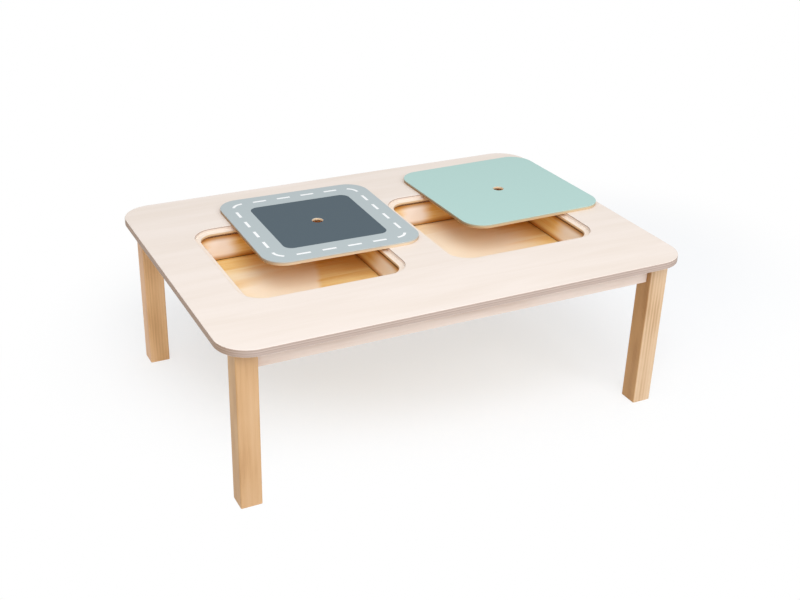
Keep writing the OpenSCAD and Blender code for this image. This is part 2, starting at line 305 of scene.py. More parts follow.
def stations(node):
    """The place and direction of each separate turned solid in a CAD node, and their length.

    A solid's own axis is the direction in which its spread differs most from the other two. It
    starts at the wider end, where a screw or bolt has its head.
    """
    shape = bmesh.new()
    shape.from_mesh(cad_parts[node].data)
    bmesh.ops.remove_doubles(shape, verts=shape.verts, dist=1e-6)
    places, axes, length, left = [], [], 0.0, set(shape.verts)
    for seed in shape.verts:
        if seed not in left:
            continue
        island, reached = {seed}, [seed]
        while reached:
            vert = reached.pop()
            beside = {edge.other_vert(vert) for edge in vert.link_edges}
            reached.extend(beside - island)
            island |= beside
        left -= island
        points = np.array([tuple(vert.co) for vert in sorted(island, key=lambda vert: vert.index)])
        middle = (points.max(axis=0) + points.min(axis=0)) / 2
        spread, directions = np.linalg.eigh(np.cov((points - points.mean(axis=0)).T))
        axis = directions[:, 2 if spread[2] - spread[1] > spread[1] - spread[0] else 0]
        along = (points - middle) @ axis
        away = np.linalg.norm(points - middle - np.outer(along, axis), axis=1)
        if away[along > 0].max() > away[along < 0].max():
            axis = -axis
            along = -along
        places.append(Vector(middle + axis * along.min()))
        axes.append(Vector(axis))
        length = float(along.max() - along.min())
    shape.free()
    mesh = bpy.data.meshes.new(node + "_stations")
    mesh.from_pydata(places, [], [])
    mesh.attributes.new("axis", "FLOAT_VECTOR", "POINT")
    mesh.attributes["axis"].data.foreach_set("vector", [part for axis in axes for part in axis])
    return mesh, length


def standing(tree, kind, settings, radii, height, start=None):
    """A cylinder or cone whose foot is at the height start, or at zero where start is left out."""
    # Blender builds a cone up from zero, and a cylinder half above and half below it
    below_zero = 0.0 if kind == "GeometryNodeMeshCone" else 0.5
    body = add(tree, kind, settings, {**radii, "Depth": height})
    rise = add(tree, "ShaderNodeMath", {"operation": "MULTIPLY_ADD", 1: below_zero, 2: 0.0}, {0: height})
    if start is not None:
        tree.links.new(start, rise.inputs[2])
    shift = add(tree, "ShaderNodeCombineXYZ", {}, {"Z": rise.outputs["Value"]})
    raised = add(tree, "GeometryNodeTransform", {},
                 {"Geometry": body.outputs["Mesh"], "Translation": shift.outputs["Vector"]})
    return raised.outputs["Geometry"]


def at_stations(tree, points, instance):
    """Sets one turned piece at each station, its local Z along the station's axis."""
    axis = add(tree, "GeometryNodeInputNamedAttribute", {"data_type": "FLOAT_VECTOR", "Name": "axis"})
    turned = add(tree, "FunctionNodeAlignRotationToVector", {"axis": "Z"},
                 {"Vector": axis.outputs["Attribute"]})
    return add(tree, "GeometryNodeInstanceOnPoints", {},
               {"Points": points, "Instance": instance, "Rotation": turned.outputs["Rotation"]})


dowel_tree, given = new_tree("turned_dowel", ["Length", "Radius"])
peg = standing(dowel_tree, "GeometryNodeMeshCylinder", {"Vertices": 40}, {"Radius": given["Radius"]},
               given["Length"])
pegs = at_stations(dowel_tree, given["Geometry"], peg)
end_tree(dowel_tree, given, pegs.outputs["Instances"])

# Bare turned beech: pale and dull, with close rings
turned_beech = hardwood("turned_beech_dowel", "#e8cda2", "#dfc093", "#c9a474",
                        (0.05, 0.0, 0.25), along_y, 3.0, 0.2)
dowel_stations, dowel_length = stations("rail_dowels")
dowels = run_tree("turned_rail_dowels", dowel_tree, dowel_stations,
                  {"Length": dowel_length, "Radius": 0.004, "Material": turned_beech})
dowel_chamfer = dowels.modifiers.new("chamfered_ends", "BEVEL")
dowel_chamfer.width = 0.0008
dowel_chamfer.segments = 2
dowel_chamfer.limit_method = "ANGLE"
dowel_chamfer.angle_limit = radians(60)
stands_for("rail_dowels", dowels)


# Corner blocks: sanded hardwood across each inside corner, bolted to the leg's flat and screwed
# to both aprons. They are left unlacquered, since only a hand under the table finds them.
block_rim = 0.0012
block_pith = Vector((0.0, 0.0, -0.06))
for block in ("corner_block_front_left", "corner_block_front_right",
              "corner_block_back_left", "corner_block_back_right"):
    low, high = (Vector(corner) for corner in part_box(block))
    block_middle = (low + high) / 2
    across = pi / 4 if block_middle.x * block_middle.y > 0 else 3 * pi / 4
    # Sanded bare beech: straw-coloured, with clear rings
    sanded_beech = hardwood("sanded_beech_" + block, "#e6cba0", "#dabb8c", "#be9866",
                            tuple(block_middle + block_pith), (pi / 2, 0.0, across), 3.5, 0.3)
    shaped(block, block_rim, sanded_beech)


# Leg bolts, washers and inserts: two steel hexagon bolts in each corner block draw the leg up by
# a threaded brass insert in its flat. The steel is bright zinc, the inserts plain turned brass.
def metal(name, colour, roughness):
    """Plated or turned metal, a little clouded: smooth patches 6 mm across change its gloss."""
    material, tree = new_material(name)
    place = add(tree, "ShaderNodeTexCoord")
    clouds = add(tree, "ShaderNodeTexNoise", {"Scale": 1000 / 6, "Detail": 2.0},
                 {"Vector": place.outputs["Object"]})
    gloss = add(tree, "ShaderNodeMapRange", {"To Min": 0.7 * roughness, "To Max": 1.3 * roughness},
                {"Value": clouds.outputs["Fac"]})
    clear, dulled = linear(colour), (*(0.82 * part for part in linear(colour)[:3]), 1.0)
    tint = add(tree, "ShaderNodeValToRGB", {"stops": [(0.3, clear), (0.8, dulled)]},
               {"Fac": clouds.outputs["Fac"]})
    shader = add(tree, "ShaderNodeBsdfPrincipled", {"Metallic": 1.0},
                 {"Base Color": tint.outputs["Color"], "Roughness": gloss.outputs["Result"]})
    add(tree, "ShaderNodeOutputMaterial", {}, {"Surface": shader.outputs["BSDF"]})
    return material


def helix(tree, start, length, radius, pitch, ridge):
    """A thread's ridge: a three-sided wire wound round a shank from start, for length."""
    turns = add(tree, "ShaderNodeMath", {"operation": "DIVIDE"}, {0: length, 1: pitch})
    coil = add(tree, "GeometryNodeCurveSpiral", {"Resolution": 20},
               {"Rotations": turns.outputs["Value"], "Start Radius": radius, "End Radius": radius,
                "Height": length})
    section = add(tree, "GeometryNodeCurvePrimitiveCircle", {"Resolution": 3}, {"Radius": ridge})
    wire = add(tree, "GeometryNodeCurveToMesh", {"Fill Caps": True},
               {"Curve": coil.outputs["Curve"], "Profile Curve": section.outputs["Curve"]})
    shift = add(tree, "ShaderNodeCombineXYZ", {}, {"Z": start})
    return add(tree, "GeometryNodeTransform", {},
               {"Geometry": wire.outputs["Mesh"], "Translation": shift.outputs["Vector"]})


bolt_tree, given = new_tree("hexagon_bolt", [
    "Length", "Head Height", "Head Radius", "Flats Radius", "Cap Radius", "Shank Radius", "Ridge",
    "Pitch"])
hexagon = standing(bolt_tree, "GeometryNodeMeshCylinder", {"Vertices": 6},
                   {"Radius": given["Head Radius"]}, given["Head Height"])
# A cone turns the head's corners off, and is as wide as its flats at the outer end
turned_cap = standing(bolt_tree, "GeometryNodeMeshCone", {"Vertices": 48},
                      {"Radius Bottom": given["Flats Radius"], "Radius Top": given["Cap Radius"]},
                      given["Head Height"])
chamfered_head = add(bolt_tree, "GeometryNodeMeshBoolean", {"operation": "INTERSECT", "solver": "EXACT"})
bolt_tree.links.new(hexagon, chamfered_head.inputs["Mesh 2"])
bolt_tree.links.new(turned_cap, chamfered_head.inputs["Mesh 2"])
shank_length = add(bolt_tree, "ShaderNodeMath", {"operation": "SUBTRACT"},
                   {0: given["Length"], 1: given["Head Height"]}).outputs["Value"]
shank = standing(bolt_tree, "GeometryNodeMeshCylinder", {"Vertices": 32},
                 {"Radius": given["Shank Radius"]}, shank_length, given["Head Height"])
ridge = helix(bolt_tree, given["Head Height"], shank_length, given["Shank Radius"], given["Pitch"],
              given["Ridge"])
whole_bolt = add(bolt_tree, "GeometryNodeJoinGeometry")
for part in (ridge.outputs["Geometry"], shank, chamfered_head.outputs["Mesh"]):
    bolt_tree.links.new(part, whole_bolt.inputs["Geometry"])
bolts = at_stations(bolt_tree, given["Geometry"], whole_bolt.outputs["Geometry"])
end_tree(bolt_tree, given, bolts.outputs["Instances"])

# Bright zinc plating: a cold, pale grey shine
bright_zinc = metal("bright_zinc_plated_steel", "#cfd2d6", 0.32)
bolt_stations, bolt_length = stations("leg_bolts")
stands_for("leg_bolts", run_tree("threaded_leg_bolts", bolt_tree, bolt_stations, {
    "Length": bolt_length, "Head Height": 0.0040, "Head Radius": 0.0057, "Flats Radius": 0.004902,
    "Cap Radius": 0.00855, "Shank Radius": 0.00276, "Ridge": 0.00024, "Pitch": 0.0010,
    "Material": bright_zinc}))

# A washer or an insert is a ring: its wall's section, with softened corners, swept round a circle
ring_tree, given = new_tree("turned_ring", ["Length", "Middle Radius", "Wall"])
ring_line = add(ring_tree, "GeometryNodeCurvePrimitiveCircle", {"Resolution": 48},
                {"Radius": given["Middle Radius"]})
ring_section = add(ring_tree, "GeometryNodeCurvePrimitiveQuadrilateral", {},
                   {"Width": given["Wall"], "Height": given["Length"]})
soft_section = add(ring_tree, "GeometryNodeFilletCurve", {"mode": "POLY", "Count": 3, "Radius": 0.0003},
                   {"Curve": ring_section.outputs["Curve"]})
ring_body = add(ring_tree, "GeometryNodeCurveToMesh", {},
                {"Curve": ring_line.outputs["Curve"], "Profile Curve": soft_section.outputs["Curve"]})
half_length = add(ring_tree, "ShaderNodeMath", {"operation": "MULTIPLY", 1: 0.5}, {0: given["Length"]})
ring_shift = add(ring_tree, "ShaderNodeCombineXYZ", {}, {"Z": half_length.outputs["Value"]})
ring_from_end = add(ring_tree, "GeometryNodeTransform", {},
                    {"Geometry": ring_body.outputs["Mesh"], "Translation": ring_shift.outputs["Vector"]})
rings = at_stations(ring_tree, given["Geometry"], ring_from_end.outputs["Geometry"])
end_tree(ring_tree, given, rings.outputs["Instances"])

washer_stations, washer_length = stations("leg_washers")
stands_for("leg_washers", run_tree("pressed_leg_washers", ring_tree, washer_stations, {
    "Length": washer_length, "Middle Radius": 0.00505, "Wall": 0.0039, "Material": bright_zinc}))
# Turned brass: a bright yellow shine
turned_brass = metal("turned_brass", "#d8b56a", 0.28)
insert_stations, insert_length = stations("leg_inserts")
stands_for("leg_inserts", run_tree("turned_leg_inserts", ring_tree, insert_stations, {
    "Length": insert_length, "Middle Radius": 0.00405, "Wall": 0.0019, "Material": turned_brass}))


# Wood screws: countersunk steel, yellow zinc, with a cross recess. They hold the blocks to the
# aprons, the aprons and cleats up to the top, and the tray floors under their walls.
screw_tree, given = new_tree("countersunk_wood_screw", [
    "Length", "Head Radius", "Head Depth", "Shank Radius", "Core Radius", "Tip Length", "Ridge", "Pitch",
    "Recess Length", "Recess Width"])
head_cone = standing(screw_tree, "GeometryNodeMeshCone", {"Vertices": 40},
                     {"Radius Bottom": given["Head Radius"], "Radius Top": given["Shank Radius"]},
                     given["Head Depth"])
driven_head = add(screw_tree, "GeometryNodeMeshBoolean", {"operation": "DIFFERENCE", "solver": "EXACT"},
                  {"Mesh 1": head_cone})
# Two crossed blades 2.4 mm high, half of it in the head, cut the recess
for cross in (0.0, pi / 2):
    blade_size = add(screw_tree, "ShaderNodeCombineXYZ", {"Z": 0.0024},
                     {"X": given["Recess Length"], "Y": given["Recess Width"]})
    blade = add(screw_tree, "GeometryNodeMeshCube", {}, {"Size": blade_size.outputs["Vector"]})
    turned_blade = add(screw_tree, "GeometryNodeTransform", {"Rotation": (0.0, 0.0, cross)},
                       {"Geometry": blade.outputs["Mesh"]})
    screw_tree.links.new(turned_blade.outputs["Geometry"], driven_head.inputs["Mesh 2"])
tip_start = add(screw_tree, "ShaderNodeMath", {"operation": "SUBTRACT"},
                {0: given["Length"], 1: given["Tip Length"]}).outputs["Value"]
core_length = add(screw_tree, "ShaderNodeMath", {"operation": "SUBTRACT"},
                  {0: tip_start, 1: given["Head Depth"]}).outputs["Value"]
core = standing(screw_tree, "GeometryNodeMeshCylinder", {"Vertices": 24},
                {"Radius": given["Core Radius"]}, core_length, given["Head Depth"])
tip = standing(screw_tree, "GeometryNodeMeshCone", {"Vertices": 24, "Radius Top": 0.0002},
               {"Radius Bottom": given["Core Radius"]}, given["Tip Length"], tip_start)
screw_ridge = helix(screw_tree, given["Head Depth"], core_length, given["Core Radius"], given["Pitch"],
                    given["Ridge"])
whole_screw = add(screw_tree, "GeometryNodeJoinGeometry")
for part in (driven_head.outputs["Mesh"], core, tip, screw_ridge.outputs["Geometry"]):
    screw_tree.links.new(part, whole_screw.inputs["Geometry"])
screws = at_stations(screw_tree, given["Geometry"], whole_screw.outputs["Geometry"])
end_tree(screw_tree, given, screws.outputs["Instances"])

# Yellow zinc plating: a pale gold shine
yellow_zinc = metal("yellow_zinc_plated_steel", "#d9c27e", 0.35)
for screw_group in ("block_screws", "apron_screws", "cleat_screws", "tray_floor_screws"):
    screw_stations, screw_length = stations(screw_group)
    stands_for(screw_group, run_tree("driven_" + screw_group, screw_tree, screw_stations, {
        "Length": screw_length, "Head Radius": 0.0035, "Head Depth": 0.00175, "Shank Radius": 0.00175,
        "Core Radius": 0.00126, "Tip Length": 0.00525, "Ridge": 0.000455, "Pitch": 0.0018,
        "Recess Length": 0.00385, "Recess Width": 0.0009, "Material": yellow_zinc}))


# Tabletop: one panel of pale birch plywood with a rebated opening over each tray, its rims sanded
# round. Clear satin lacquer leaves the face nearly white, and the edge shows the plies.
def veneer(tree, local, shades):
    """A face veneer's colour, from a pale to a dark shade, with its figure and its fine fibres."""
    # Fibres 70 mm long and 1.6 mm wide, some five times as coarse as real ones so that they show
    fibre_space = add(tree, "ShaderNodeMapping", {"Scale": (1000 / 70, 1000 / 1.6, 1000 / 0.8)},
                      {"Vector": local.outputs["Vector"]})
    fibres = add(tree, "ShaderNodeTexNoise", {"Scale": 1.0, "Detail": 3.0, "Roughness": 0.65},
                 {"Vector": fibre_space.outputs["Vector"]}).outputs["Fac"]
    # Figure 420 mm long and 45 mm wide
    figure_space = add(tree, "ShaderNodeMapping", {"Scale": (1000 / 420, 1000 / 45, 1000 / 45)},
                       {"Vector": local.outputs["Vector"]})
    figure = add(tree, "ShaderNodeTexNoise", {"Scale": 1.0, "Detail": 2.0, "Distortion": 0.6},
                 {"Vector": figure_space.outputs["Vector"]}).outputs["Fac"]
    depth = add(tree, "ShaderNodeMath", {"operation": "MULTIPLY_ADD", 1: 0.5}, {0: fibres, 2: figure})
    colour = add(tree, "ShaderNodeValToRGB",
                 {"stops": [(0.58, linear(shades[0])), (0.92, linear(shades[1]))]},
                 {"Fac": depth.outputs["Value"]})
    return colour.outputs["Color"], figure, fibres


def with_painted_light_patch(tree, place, figure, colour, middle, reach, end, shade):
    """Lays a pale patch of painted light over a veneer, as far as a painted shadow edge."""
    distance = add(tree, "ShaderNodeVectorMath", {"operation": "DISTANCE", 1: middle},
                   {0: place.outputs["Object"]})
    uneven = add(tree, "ShaderNodeMath", {"operation": "MULTIPLY_ADD", 1: 0.9 * reach},
                 {0: figure, 2: distance.outputs["Value"]})
    patch_strength = add(tree, "ShaderNodeMapRange",
                {"interpolation_type": "SMOOTHSTEP", "From Min": 0.8 * reach, "From Max": 1.45 * reach,
                 "To Min": 0.95, "To Max": 0.0}, {"Value": uneven.outputs["Value"]})
    # The painted shadow edge slants across the panel and wavers with the figure, and the change takes 16
    # mm
    across = add(tree, "ShaderNodeVectorMath", {"operation": "DOT_PRODUCT", 1: (1.0, -0.35, 0.0)},
                 {0: place.outputs["Object"]})
    wavering = add(tree, "ShaderNodeMath", {"operation": "MULTIPLY_ADD", 1: 0.030},
                   {0: figure, 2: across.outputs["Value"]})
    lit_side = add(tree, "ShaderNodeMapRange",
                   {"interpolation_type": "SMOOTHSTEP", "From Min": end, "From Max": end + 0.016,
                    "To Min": 1.0, "To Max": 0.0}, {"Value": wavering.outputs["Value"]})
    part = add(tree, "ShaderNodeMath", {"operation": "MULTIPLY"},
               {0: patch_strength.outputs["Result"], 1: lit_side.outputs["Result"]})
    return add(tree, "ShaderNodeMix", {"data_type": "RGBA", 7: linear(shade)},
               {0: part.outputs["Value"], 6: colour}).outputs[2]


def cut_plies(tree, height, thick, plies, shades):
    """A cut edge: every other ply is crossed and darker, and each ply has a tone of its own."""
    in_plies = add(tree, "ShaderNodeMath", {"operation": "MULTIPLY", 1: plies / thick}, {0: height})
    layer = add(tree, "ShaderNodeMath", {"operation": "FLOOR"}, {0: in_plies.outputs["Value"]})
    crossed = add(tree, "ShaderNodeMath", {"operation": "PINGPONG", 1: 1.0},
                  {0: layer.outputs["Value"]})
    layer_tone = add(tree, "ShaderNodeTexWhiteNoise", {"noise_dimensions": "1D"},
                     {"W": layer.outputs["Value"]})
    own_tone = add(tree, "ShaderNodeMath", {"operation": "MULTIPLY", 1: 0.38},
                   {0: layer_tone.outputs["Value"]})
    depth = add(tree, "ShaderNodeMath", {"operation": "MULTIPLY_ADD", 1: 0.62},
                {0: crossed.outputs["Value"], 2: own_tone.outputs["Value"]})
    return add(tree, "ShaderNodeValToRGB",
               {"stops": [(0.0, linear(shades[0])), (1.0, linear(shades[1]))]},
               {"Fac": depth.outputs["Value"]}).outputs["Color"]


def outer_edge(tree, local, starts):
    """1 farther out from the sheet's middle than starts, along X or along Y, and 0 within."""
    outward = add(tree, "ShaderNodeVectorMath", {"operation": "ABSOLUTE"}, {0: local.outputs["Vector"]})
    reached = add(tree, "ShaderNodeSeparateXYZ", {}, {"Vector": outward.outputs["Vector"]})
    past_x = add(tree, "ShaderNodeMath", {"operation": "GREATER_THAN", 1: starts[0]},
                 {0: reached.outputs["X"]})
    past_y = add(tree, "ShaderNodeMath", {"operation": "GREATER_THAN", 1: starts[1]},
                 {0: reached.outputs["Y"]})
    return add(tree, "ShaderNodeMath", {"operation": "MAXIMUM"},
               {0: past_x.outputs["Value"], 1: past_y.outputs["Value"]}).outputs["Value"]


def with_joint_line_and_shade(tree, place, colour, joint):
    """Draws a joint at this height as a thin dark line, and paints brown shade round it that fades out 15
    mm away.
    """
    level = add(tree, "ShaderNodeSeparateXYZ", {}, {"Vector": place.outputs["Object"]})
    above = add(tree, "ShaderNodeMath", {"operation": "SUBTRACT", 1: joint}, {0: level.outputs["Z"]})
    away = add(tree, "ShaderNodeMath", {"operation": "ABSOLUTE"}, {0: above.outputs["Value"]})
    # Painted shade: brown, full within 2 mm of the joint and gone at 15 mm, standing in for the shade
    # under the top's lip and at the wall's foot
    painted_shade_part = add(tree, "ShaderNodeMapRange",
                   {"interpolation_type": "SMOOTHSTEP", "From Min": 0.002, "From Max": 0.015,
                    "To Min": 1.0, "To Max": 0.0}, {"Value": away.outputs["Value"]})
    shaded_by_joint = add(tree, "ShaderNodeMix",
                  {"data_type": "RGBA", "blend_type": "MULTIPLY", 7: linear("#c89f69")},
                  {0: painted_shade_part.outputs["Result"], 6: colour})
    in_line = add(tree, "ShaderNodeMath", {"operation": "LESS_THAN", 1: 0.0018},
                  {0: away.outputs["Value"]})
    return add(tree, "ShaderNodeMix", {"data_type": "RGBA", 7: linear("#5f3a18")},
               {0: in_line.outputs["Value"], 6: shaded_by_joint.outputs[2]}).outputs[2]


def with_film(tree, height, thick, is_outer, colour, paint):
    """Sprays the upper face with paint, some of which mists down the outer edge."""
    mist = add(tree, "ShaderNodeMapRange",
               {"From Min": 0.45 * thick, "From Max": 0.95 * thick, "To Max": 0.8}, {"Value": height})
    edge_mist = add(tree, "ShaderNodeMath", {"operation": "MULTIPLY"},
                    {0: is_outer, 1: mist.outputs["Result"]})
    on_top = add(tree, "ShaderNodeMath", {"operation": "GREATER_THAN", 1: thick - 0.0003}, {0: height})
    film = add(tree, "ShaderNodeMath", {"operation": "MAXIMUM"},
               {0: edge_mist.outputs["Value"], 1: on_top.outputs["Value"]})
    return add(tree, "ShaderNodeMix", {"data_type": "RGBA", 7: linear(paint)},
               {0: film.outputs["Value"], 6: colour}).outputs[2]


def plywood(name, corner, turn, thick, plies, face, ply,
            end=None, routed=None, paint=None, light_patch=None, joints=()):
    """Plywood as real layers: local Z runs up through the plies from corner, X along the face grain.

    face and ply are pairs of a pale and a dark shade, and end is the tint of the end grain. routed
    is how far out the outer edge starts, and the shades of the cut edges inside it from bottom to
    top. paint is a sprayed film, which needs routed too. The light patch is a pale patch of painted
    light over the face veneer: its middle, its reach, the painted shadow edge that ends it, and its
    shade. joints are the heights at which another board meets this one, each drawn as a thin dark
    line in a band of painted shade.
    """
    material, tree = new_material(name)
    place = add(tree, "ShaderNodeTexCoord")
    local = add(tree, "ShaderNodeMapping",
                {"vector_type": "TEXTURE", "Location": corner, "Rotation": turn},
                {"Vector": place.outputs["Object"]})
    height = add(tree, "ShaderNodeSeparateXYZ", {}, {"Vector": local.outputs["Vector"]}).outputs["Z"]
    face_colour, figure, fibres = veneer(tree, local, face)
    # A pale patch of painted light over the face veneer, ended by a painted shadow edge
    if light_patch:
        face_colour = with_painted_light_patch(tree, place, figure, face_colour, *light_patch)
    edge_colour = cut_plies(tree, height, thick, plies, ply)
    if end:
        edge_colour = sideways(tree, place, edge_colour, end)
    if routed:
        outer_starts, cut_shades = routed
        is_outer = outer_edge(tree, local, outer_starts)
        through = add(tree, "ShaderNodeMath", {"operation": "DIVIDE", 1: thick}, {0: height})
        cut_colour = add(tree, "ShaderNodeValToRGB",
                         {"stops": [(position, linear(shade)) for position, shade in cut_shades]},
                         {"Fac": through.outputs["Value"]}).outputs["Color"]
        edge_colour = add(tree, "ShaderNodeMix", {"data_type": "RGBA"},
                          {0: is_outer, 6: cut_colour, 7: edge_colour}).outputs[2]
    face_veneer = 0.0006
    is_inside = add(tree, "ShaderNodeMath",
                    {"operation": "COMPARE", 1: thick / 2, 2: thick / 2 - face_veneer}, {0: height})
    colour = add(tree, "ShaderNodeMix", {"data_type": "RGBA"},
                 {0: is_inside.outputs["Value"], 6: face_colour, 7: edge_colour}).outputs[2]
    # Each joint is a thin dark line in a band of painted shade
    for joint in joints:
        colour = with_joint_line_and_shade(tree, place, colour, joint)
    if paint:
        colour = with_film(tree, height, thick, is_outer, colour, paint)
    surface(tree, colour, fibres, 0.45, 0.05)
    return material


top_rim = 0.0014
flat = (0.0, 0.0, 0.0)
outer_edge_starts = (0.45, 0.30)
# From the bottom: the opening's lip painted dark brown as the shade under the ledge, the wall
# below the ledge painted a darker tan as shade, the white ledge and the rebate's wall
rebate_colours_with_painted_shade = [
    (0.0, "#7d4f25"), (0.16, "#7d4f25"), (0.20, "#dcc09c"), (0.44, "#dcc09c"), (0.47, "#f3e6da"),
    (0.80, "#f3e6da"), (0.84, "#bfaca2"), (0.95, "#bfaca2"), (1.0, "#eee0d6"),
]
low, high = (Vector(corner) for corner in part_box("tabletop"))
# Seven plies under satin lacquer: an almost white face, and an edge in grey and pink stripes
birch_plywood = plywood(
    "lacquered_birch_plywood_top", (0.0, 0.0, low.z), flat, high.z - low.z, 7,
    ("#f0e5dd", "#ebdfd5"), ("#c6b4a9", "#ae988c"), end="#e6d4bd",
    routed=(outer_edge_starts, rebate_colours_with_painted_shade))
shaped("tabletop", top_rim, birch_plywood)


# Trays: a box of honey-coloured plywood under each opening, four walls on a screwed floor, with
# pale patches of painted light in the veneer, and painted shade along the walls' joints. Two cleats
# of plain birch beside each tray hang it from the top.
tray_rim = 0.0011
# The heights at which the walls meet the floor and the top, where joint lines and painted shade are drawn
tray_joints = (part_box("left_tray_back")[0][2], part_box("left_tray_back")[1][2])
wall_turns = {
    "front": (pi / 2, 0.0, 0.0), "back": (pi / 2, 0.0, 0.0),
    "outer_side": (pi / 2, 0.0, pi / 2), "inner_side": (pi / 2, 0.0, pi / 2), "floor": flat,
}
# The middle and the reach of the patch of painted light in each panel
painted_light_patches = {
    "left_tray_back": ((-0.335, 0.163, 0.305), 0.055),
    "left_tray_floor": ((-0.235, -0.030, 0.279), 0.200),
    "left_tray_front": ((-0.150, -0.163, 0.300), 0.070),
    "left_tray_inner_side": ((-0.060, -0.075, 0.300), 0.080),
    "left_tray_outer_side": ((-0.386, 0.060, 0.300), 0.080),
    "right_tray_back": ((0.130, 0.163, 0.308), 0.055),
    "right_tray_floor": ((0.195, 0.035, 0.279), 0.200),
    "right_tray_front": ((0.200, -0.163, 0.300), 0.070),
    "right_tray_inner_side": ((0.060, 0.050, 0.300), 0.080),
    "right_tray_outer_side": ((0.386, -0.095, 0.305), 0.075),
}
# Only this panel's patch of painted light ends at a painted shadow edge. The others' edges would lie
# outside the table.
painted_shadow_edges = {"left_tray_floor": -0.172}
beyond_table = 1.0
cleat_pith = Vector((-0.05, 0.0, -0.05))
for side in ("left", "right"):
    for panel, turn in wall_turns.items():
        node = f"{side}_tray_{panel}"
        low, high = (Vector(corner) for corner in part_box(node))
        start = Vector((low.x, high.y, low.z)) if panel in ("front", "back") else low
        # The painted light is whiter on the walls than on the floor
        light_patch_shade = "#fdf2de" if panel == "floor" else "#fdf6f2"
        # Honey-coloured lacquer on plywood: a golden veneer with a pale patch of painted light, and on
        # the walls painted shade along each joint
        honey_plywood = plywood(
            "honey_plywood_" + node, tuple(start), turn, min(high - low), 5,
            ("#fee8ac", "#eab960"), ("#e6c08a", "#b98850"),
            light_patch=(*painted_light_patches[node], painted_shadow_edges.get(node, beyond_table), light_patch_shade),
            joints=() if panel == "floor" else tray_joints)
        shaped(node, tray_rim, honey_plywood)
    cleats = side + "_tray_cleats"
    low, high = (Vector(corner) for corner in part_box(cleats))
    # Bare planed birch: pale and dull
    planed_birch = hardwood("planed_birch_" + cleats, "#ecd8bd", "#e3caab", "#cfb08c",
                            tuple(low + cleat_pith), along_x, 4.0, 0.2)
    shaped(cleats, board_rim, planed_birch)


# Lids: two squares of thin birch plywood with round corners and a finger hole in the middle.
# The upper face is sprayed, and the sawn edge and the hole are left bare under clear lacquer.
def laid(tree, given, height, geometry):
    """Lays a flat geometry at the tree's X and Y and at this height, turned about the upright."""
    centre = add(tree, "ShaderNodeCombineXYZ", {}, {"X": given["X"], "Y": given["Y"], "Z": height})
    facing = add(tree, "ShaderNodeCombineXYZ", {}, {"Z": given["Turn"]})
    return add(tree, "GeometryNodeTransform", {},
               {"Geometry": geometry, "Translation": centre.outputs["Vector"],
                "Rotation": facing.outputs["Vector"]}).outputs["Geometry"]


def rounded_panel_tree():
    """A square panel of any size with round corners and a round hole in the middle."""
    tree, given = new_tree("rounded_panel", [
        "Side", "Thickness", "Corner Radius", "Bore Radius", "X", "Y", "Z", "Turn"])
    square = add(tree, "GeometryNodeCurvePrimitiveQuadrilateral", {},
                 {"Width": given["Side"], "Height": given["Side"]})
    outline = add(tree, "GeometryNodeFilletCurve", {"mode": "POLY", "Count": 18},
                  {"Curve": square.outputs["Curve"], "Radius": given["Corner Radius"]})
    hole = add(tree, "GeometryNodeCurvePrimitiveCircle", {"Resolution": 48},
               {"Radius": given["Bore Radius"]})
    lines = add(tree, "GeometryNodeJoinGeometry")
    for line in (hole.outputs["Curve"], outline.outputs["Curve"]):
        tree.links.new(line, lines.inputs["Geometry"])
    sheet = add(tree, "GeometryNodeFillCurve", {"mode": "NGONS"}, {"Curve": lines.outputs["Geometry"]})
    rise = add(tree, "ShaderNodeCombineXYZ", {}, {"Z": given["Thickness"]})
    raised = add(tree, "GeometryNodeExtrudeMesh", {"Offset Scale": 1.0, "Individual": False},
                 {"Mesh": sheet.outputs["Mesh"], "Offset": rise.outputs["Vector"]})
    underside = add(tree, "GeometryNodeFlipFaces", {}, {"Mesh": sheet.outputs["Mesh"]})
    closed = add(tree, "GeometryNodeJoinGeometry")
    for part in (raised.outputs["Mesh"], underside.outputs["Mesh"]):
        tree.links.new(part, closed.inputs["Geometry"])
    merged = add(tree, "GeometryNodeMergeByDistance", {"Distance": 1e-6},
                 {"Geometry": closed.outputs["Geometry"]})
    end_tree(tree, given, laid(tree, given, given["Z"], merged.outputs["Geometry"]))
    return tree


panel_tree = rounded_panel_tree()
lid_side = 0.346
lid_corner = 0.048
finger_hole = 0.024
lid_rim = 0.0007
lid_edge_starts = (0.05, 0.05)
# From the bottom of the finger hole: the far lip painted dark brown as the shade seen through the
# hole, then two pale plies in the light
hole_colours_with_painted_shade = [(0.0, "#6f4524"), (0.35, "#6f4524"), (0.50, "#ecd5b2"), (1.0, "#f6e8d0")]


def lid_board(node, body, turn, paint, ply):
    """A lid's sprayed plywood board; returns its place for what is printed on it."""
    low, high = (Vector(corner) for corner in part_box(node))
    middle = (low + high) / 2
    thick = high.z - low.z
    # Sprayed satin paint: a soft, even, cool face with a faint mist down the bare edge
    sprayed_plywood = plywood(
        "sprayed_plywood_" + node, (middle.x, middle.y, low.z), (0.0, 0.0, turn), thick, 5,
        ("#ecd6b8", "#ddbf98"), ply, end="#b59f83", paint=paint, routed=(lid_edge_starts, hole_colours_with_painted_shade))
    place = {"X": middle.x, "Y": middle.y, "Z": low.z, "Turn": turn}
    board = run_tree(node + "_board", panel_tree, bpy.data.meshes.new(node + "_board"), {
        "Side": lid_side, "Thickness": thick, "Corner Radius": lid_corner,
        "Bore Radius": finger_hole / 2, "Material": sprayed_plywood, **place})
    sanded(board, lid_rim, "ANGLE").angle_limit = radians(40)
    stands_for(node, board, body)
    return {**place, "Z": high.z}


road_place = lid_board("road_lid", "left_lid", radians(-1.0), "#b5c0c3",
                       ("#f6e4cb", "#e3c49b"))
lid_board("plain_lid", "right_lid", radians(1.2), "#b2d3ce",
          ("#ecd7b4", "#cfae80"))


